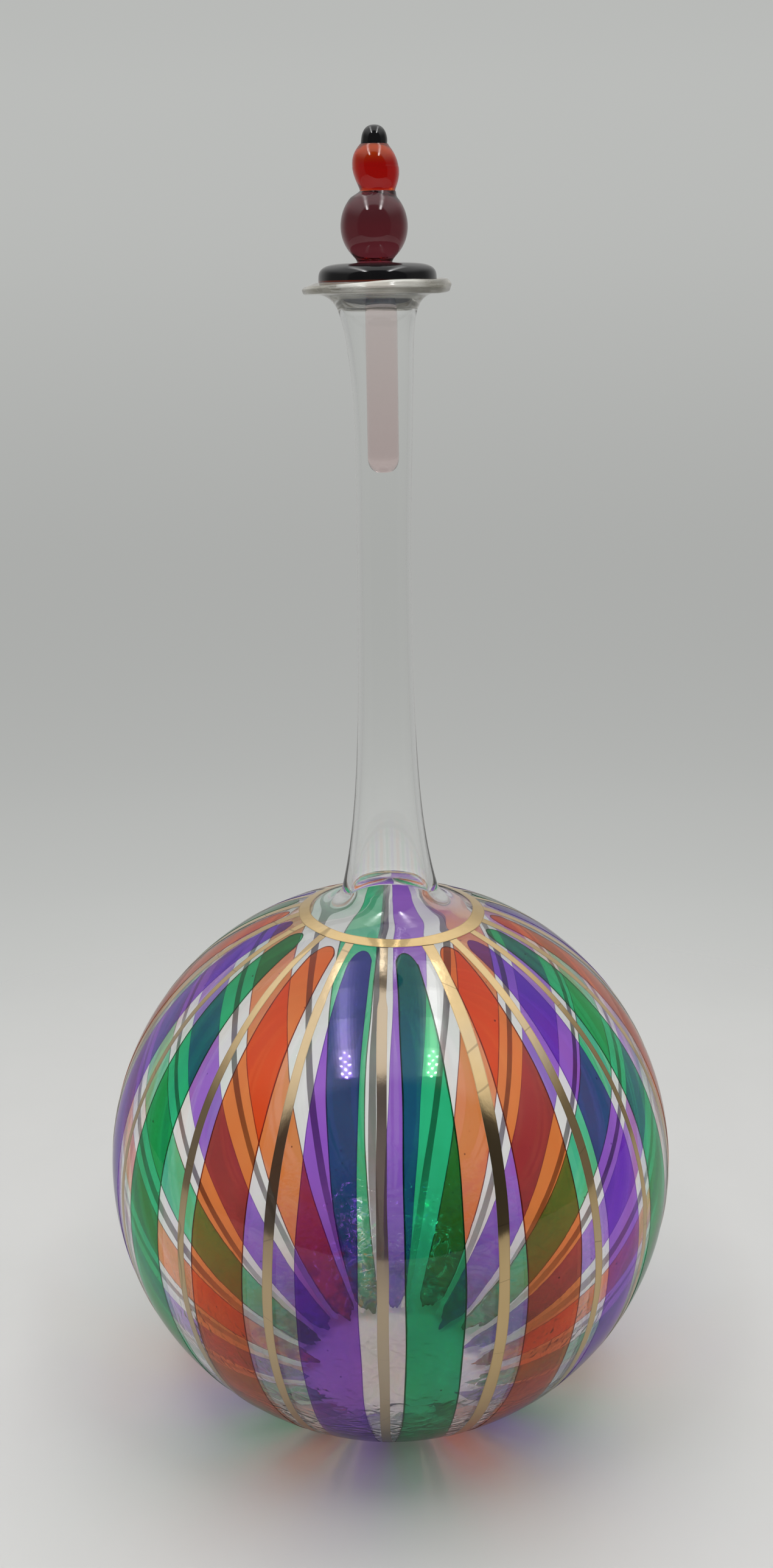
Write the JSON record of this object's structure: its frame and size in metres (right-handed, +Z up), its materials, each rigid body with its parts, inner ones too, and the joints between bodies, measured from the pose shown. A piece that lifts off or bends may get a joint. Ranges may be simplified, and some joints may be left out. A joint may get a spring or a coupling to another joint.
{
  "type": "art glass bottle",
  "caption": "Long-necked round glass bottle with gilded lines, stained stripes and a loose beaded glass stopper that lifts out.",
  "frame": {"origin": "centre of the flat foot, on the surface that the bottle stands on", "axes": "+Z up along the neck, -Y towards the viewer of the picture, +X to the viewer's right"},
  "size_m": [0.1244, 0.1244, 0.2733],
  "materials": {
    "clear_glass": "fire polished",
    "gilding": "burnished liquid gold, brushed on",
    "green_stain": "transparent stain, glossy",
    "orange_stain": "transparent stain, glossy",
    "purple_stain": "transparent stain, glossy",
    "black_glass": "fire polished",
    "red_glass": "fire polished",
    "amethyst_glass": "fire polished",
    "pink_glass": "fire polished"
  },
  "bodies": {
    "bottle": {"globe": "clear_glass", "neck_tube": "clear_glass", "lip_wrap": "clear_glass", "gold_collar": "gilding", "gold_line_1": "gilding", "gold_line_2": "gilding", "gold_line_3": "gilding", "gold_line_4": "gilding", "gold_line_5": "gilding", "gold_line_6": "gilding", "gold_line_7": "gilding", "gold_line_8": "gilding", "gold_line_9": "gilding", "gold_line_10": "gilding", "gold_line_11": "gilding", "gold_line_12": "gilding", "gold_line_13": "gilding", "gold_line_14": "gilding", "gold_line_15": "gilding", "gold_line_16": "gilding", "gold_line_17": "gilding", "gold_line_18": "gilding", "gold_line_19": "gilding", "green_stripe_1": "green_stain", "green_stripe_2": "green_stain", "green_stripe_3": "green_stain", "green_stripe_4": "green_stain", "green_stripe_5": "green_stain", "green_stripe_6": "green_stain", "orange_stripe_1": "orange_stain", "orange_stripe_2": "orange_stain", "orange_stripe_3": "orange_stain", "orange_stripe_4": "orange_stain", "orange_stripe_5": "orange_stain", "orange_stripe_6": "orange_stain", "purple_stripe_1": "purple_stain", "purple_stripe_2": "purple_stain", "purple_stripe_3": "purple_stain", "purple_stripe_4": "purple_stain", "purple_stripe_5": "purple_stain", "purple_stripe_6": "purple_stain", "purple_stripe_7": "purple_stain"},
    "stopper": {"stopper_disc": "black_glass", "stopper_rod": "pink_glass", "stopper_lower_bead": "amethyst_glass", "stopper_upper_bead": "red_glass", "stopper_tip": "black_glass"}
  },
  "joints": [
    {"name": "stopper_lift", "type": "slide", "parent": "bottle", "child": "stopper", "axis": [0, 0, 1], "range_m": [0, 0.06]}
  ]
}
